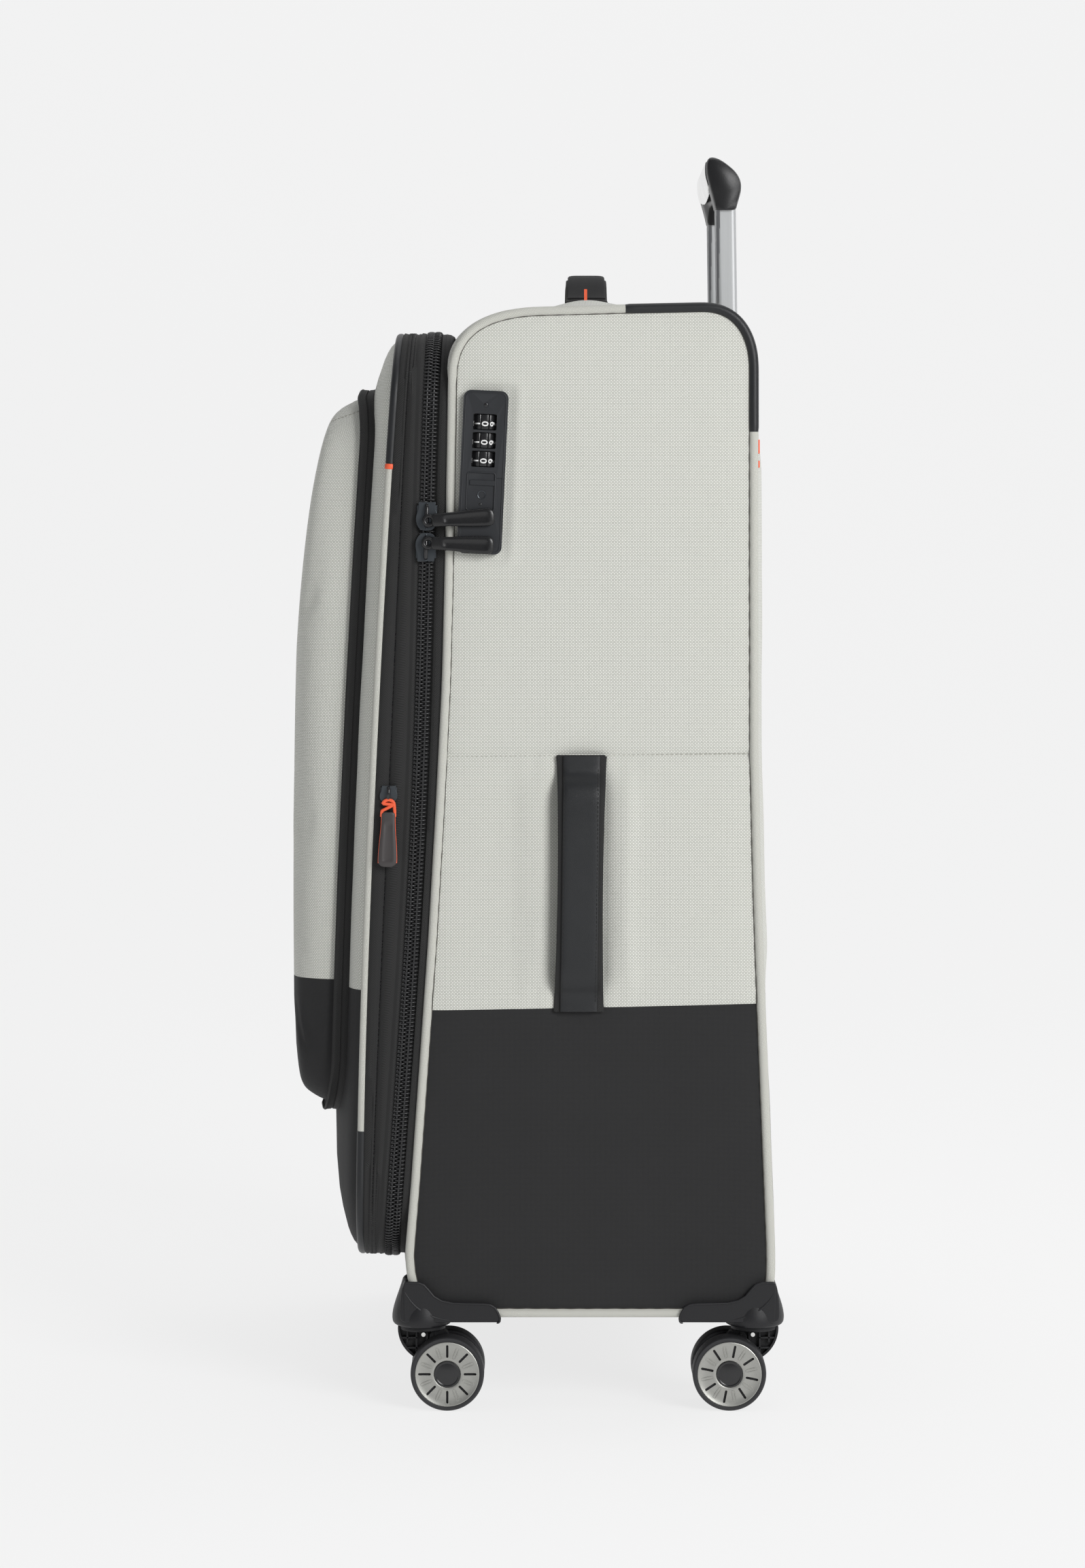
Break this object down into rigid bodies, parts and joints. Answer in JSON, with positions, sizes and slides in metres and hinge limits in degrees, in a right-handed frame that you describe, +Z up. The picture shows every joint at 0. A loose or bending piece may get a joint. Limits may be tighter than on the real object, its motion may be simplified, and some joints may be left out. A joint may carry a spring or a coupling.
{
  "type": "softside upright suitcase",
  "caption": "Tall soft-sided upright suitcase with a zipped front lid, front pocket, carry handles, a telescopic handle and swivelling twin wheels.",
  "frame": {"origin": "on the floor, under the middle of the whole object's bounding box, telescopic handle part raised as at rest", "axes": "+X points to the back of the case, where the telescopic handle is; -Y to the side with the lock; +Z up"},
  "size_m": [0.348, 0.497, 0.8995],
  "materials": {
    "canvas": "light stone-grey coarse woven polyester over foam",
    "piping": "light woven piping over a cord",
    "dark_canvas": "charcoal woven polyester",
    "tape": "black woven zip tape",
    "black_plastic": "black fine-textured moulding",
    "grip_plastic": "dark grey satin moulding",
    "webbing": "black webbing with a smooth strap sewn on",
    "lock_plastic": "dark grey-blue matte moulding",
    "aluminium": "silver anodised, satin",
    "steel": "plated steel",
    "pull_rubber": "soft moulded plastic",
    "wheel": "black tyre on a silver-painted plastic rim"
  },
  "bodies": {
    "case": {"side_panel_lock": "canvas", "side_panel_hinge": "canvas", "top_panel": "canvas", "bottom_panel": "dark_canvas", "back_panel": "canvas", "piping_lock": "piping", "piping_hinge": "piping", "zip_tape_case": "tape", "wheel_housing_front_lock": "black_plastic", "wheel_housing_front_hinge": "black_plastic", "wheel_housing_rear_lock": "black_plastic", "wheel_housing_rear_hinge": "black_plastic", "handle_tube_outer_lock": "aluminium", "handle_tube_outer_hinge": "aluminium", "handle_tray": "black_plastic", "top_handle": "webbing", "side_handle": "webbing", "lock_case": "lock_plastic"},
    "lid": {"zip_tape_lid": "tape"},
    "front_cover": {"cover_gusset": "tape", "cover_piping": "piping", "front_panel": "canvas", "front_pocket": "canvas"},
    "pull_handle": {"handle_tube_inner_lock": "aluminium", "handle_tube_inner_hinge": "aluminium", "handle_grip": "grip_plastic"},
    "handle_button": {"handle_button": "grip_plastic"},
    "lock_dial_1": {"lock_dial_1": "lock_plastic"},
    "lock_dial_2": {"lock_dial_2": "lock_plastic"},
    "lock_dial_3": {"lock_dial_3": "lock_plastic"},
    "lock_slide": {"lock_slide": "lock_plastic"},
    "lock_key_barrel": {"lock_key_barrel": "steel"},
    "main_slider_upper": {"main_slider_upper": "steel"},
    "main_pull_upper": {"main_pull_upper": "pull_rubber"},
    "main_slider_lower": {"main_slider_lower": "steel"},
    "main_pull_lower": {"main_pull_lower": "pull_rubber"},
    "expander_slider": {"expander_slider": "steel"},
    "expander_pull": {"expander_pull": "pull_rubber"},
    "pocket_slider": {"pocket_slider": "steel"},
    "pocket_pull": {"pocket_pull": "pull_rubber"},
    "caster_front_lock": {"caster_fork_front_lock": "black_plastic", "axle_front_lock": "steel"},
    "wheel_front_lock_outer": {"wheel_front_lock_outer": "wheel"},
    "wheel_front_lock_inner": {"wheel_front_lock_inner": "wheel"},
    "caster_front_hinge": {"caster_fork_front_hinge": "black_plastic", "axle_front_hinge": "steel"},
    "wheel_front_hinge_outer": {"wheel_front_hinge_outer": "wheel"},
    "wheel_front_hinge_inner": {"wheel_front_hinge_inner": "wheel"},
    "caster_rear_lock": {"caster_fork_rear_lock": "black_plastic", "axle_rear_lock": "steel"},
    "wheel_rear_lock_outer": {"wheel_rear_lock_outer": "wheel"},
    "wheel_rear_lock_inner": {"wheel_rear_lock_inner": "wheel"},
    "caster_rear_hinge": {"caster_fork_rear_hinge": "black_plastic", "axle_rear_hinge": "steel"},
    "wheel_rear_hinge_outer": {"wheel_rear_hinge_outer": "wheel"},
    "wheel_rear_hinge_inner": {"wheel_rear_hinge_inner": "wheel"}
  },
  "joints": [
    {"name": "swivel_front_lock", "type": "hinge", "parent": "case", "child": "caster_front_lock", "pos_m": [-0.083, -0.212, 0.06], "axis": [0, 0, 1], "continuous": true},
    {"name": "spin_front_lock_outer", "type": "hinge", "parent": "caster_front_lock", "child": "wheel_front_lock_outer", "pos_m": [-0.0648, -0.2275, 0.026], "axis": [0, 1, 0], "continuous": true},
    {"name": "spin_front_lock_inner", "type": "hinge", "parent": "caster_front_lock", "child": "wheel_front_lock_inner", "pos_m": [-0.0648, -0.1965, 0.026], "axis": [0, 1, 0], "continuous": true},
    {"name": "swivel_front_hinge", "type": "hinge", "parent": "case", "child": "caster_front_hinge", "pos_m": [-0.083, 0.223, 0.06], "axis": [0, 0, 1], "continuous": true},
    {"name": "spin_front_hinge_outer", "type": "hinge", "parent": "caster_front_hinge", "child": "wheel_front_hinge_outer", "pos_m": [-0.0648, 0.2385, 0.026], "axis": [0, 1, 0], "continuous": true},
    {"name": "spin_front_hinge_inner", "type": "hinge", "parent": "caster_front_hinge", "child": "wheel_front_hinge_inner", "pos_m": [-0.0648, 0.2075, 0.026], "axis": [0, 1, 0], "continuous": true},
    {"name": "swivel_rear_lock", "type": "hinge", "parent": "case", "child": "caster_rear_lock", "pos_m": [0.1526, -0.212, 0.06], "axis": [0, 0, 1], "continuous": true},
    {"name": "spin_rear_lock_outer", "type": "hinge", "parent": "caster_rear_lock", "child": "wheel_rear_lock_outer", "pos_m": [0.1344, -0.2275, 0.026], "axis": [0, 1, 0], "continuous": true},
    {"name": "spin_rear_lock_inner", "type": "hinge", "parent": "caster_rear_lock", "child": "wheel_rear_lock_inner", "pos_m": [0.1344, -0.1965, 0.026], "axis": [0, 1, 0], "continuous": true},
    {"name": "swivel_rear_hinge", "type": "hinge", "parent": "case", "child": "caster_rear_hinge", "pos_m": [0.1526, 0.223, 0.06], "axis": [0, 0, 1], "continuous": true},
    {"name": "spin_rear_hinge_outer", "type": "hinge", "parent": "caster_rear_hinge", "child": "wheel_rear_hinge_outer", "pos_m": [0.1344, 0.2385, 0.026], "axis": [0, 1, 0], "continuous": true},
    {"name": "spin_rear_hinge_inner", "type": "hinge", "parent": "caster_rear_hinge", "child": "wheel_rear_hinge_inner", "pos_m": [0.1344, 0.2075, 0.026], "axis": [0, 1, 0], "continuous": true},
    {"name": "handle_slide", "type": "slide", "parent": "case", "child": "pull_handle", "axis": [-0.0137, 0, 0.9999], "range_m": [-0.116, 0.2]},
    {"name": "handle_button_press", "type": "slide", "parent": "pull_handle", "child": "handle_button", "axis": [0.0137, 0, -0.9999], "range_m": [0, 0.003], "stiffness_N_per_m": 200, "springref_m": -0.003},
    {"name": "lid_hinge", "type": "hinge", "parent": "case", "child": "lid", "pos_m": [-0.076, 0.246, 0.735], "axis": [-0.0461, 0, -0.9989], "range_deg": [0, 170]},
    {"name": "expander_slide", "type": "slide", "parent": "lid", "child": "front_cover", "axis": [-1, 0, 0], "range_m": [0, 0.04]},
    {"name": "dial_1_turn", "type": "hinge", "parent": "case", "child": "lock_dial_1", "pos_m": [-0.03813, -0.2271, 0.69796], "axis": [0.047, 0, 0.9989], "continuous": true},
    {"name": "dial_2_turn", "type": "hinge", "parent": "case", "child": "lock_dial_2", "pos_m": [-0.03875, -0.2271, 0.68488], "axis": [0.047, 0, 0.9989], "continuous": true},
    {"name": "dial_3_turn", "type": "hinge", "parent": "case", "child": "lock_dial_3", "pos_m": [-0.03936, -0.2271, 0.67179], "axis": [0.047, 0, 0.9989], "continuous": true},
    {"name": "lock_slide_press", "type": "slide", "parent": "case", "child": "lock_slide", "axis": [-0.047, 0, -0.9989], "range_m": [0, 0.003], "stiffness_N_per_m": 100, "springref_m": -0.002},
    {"name": "key_turn", "type": "hinge", "parent": "case", "child": "lock_key_barrel", "pos_m": [-0.04055, -0.2325, 0.64652], "axis": [0, 1, 0], "range_deg": [0, 90]},
    {"name": "main_slider_upper_run", "type": "slide", "parent": "case", "child": "main_slider_upper", "axis": [0.0285, 0, 0.9996], "range_m": [0, 0.07]},
    {"name": "main_pull_upper_swing", "type": "hinge", "parent": "main_slider_upper", "child": "main_pull_upper", "pos_m": [-0.0737, -0.2396, 0.6285], "axis": [0, 0, -1], "range_deg": [0, 150]},
    {"name": "main_slider_lower_run", "type": "slide", "parent": "case", "child": "main_slider_lower", "axis": [0.033, 0, 0.9995], "range_m": [-0.2, 0]},
    {"name": "main_pull_lower_swing", "type": "hinge", "parent": "main_slider_lower", "child": "main_pull_lower", "pos_m": [-0.0742, -0.2396, 0.6125], "axis": [0, 0, -1], "range_deg": [0, 150]},
    {"name": "expander_slider_run", "type": "slide", "parent": "lid", "child": "expander_slider", "axis": [0.0415, 0, 0.9991], "range_m": [-0.2, 0.2]},
    {"name": "expander_pull_swing", "type": "hinge", "parent": "expander_slider", "child": "expander_pull", "pos_m": [-0.1063, -0.2349, 0.4265], "axis": [-1, 0, 0], "range_deg": [0, 120]},
    {"name": "pocket_slider_run", "type": "slide", "parent": "front_cover", "child": "pocket_slider", "axis": [0.0415, 0, 0.9991], "range_m": [-0.2, 0.08]},
    {"name": "pocket_pull_swing", "type": "hinge", "parent": "pocket_slider", "child": "pocket_pull", "pos_m": [-0.1335, 0.2189, 0.552], "axis": [1, 0, 0], "range_deg": [0, 120]}
  ]
}
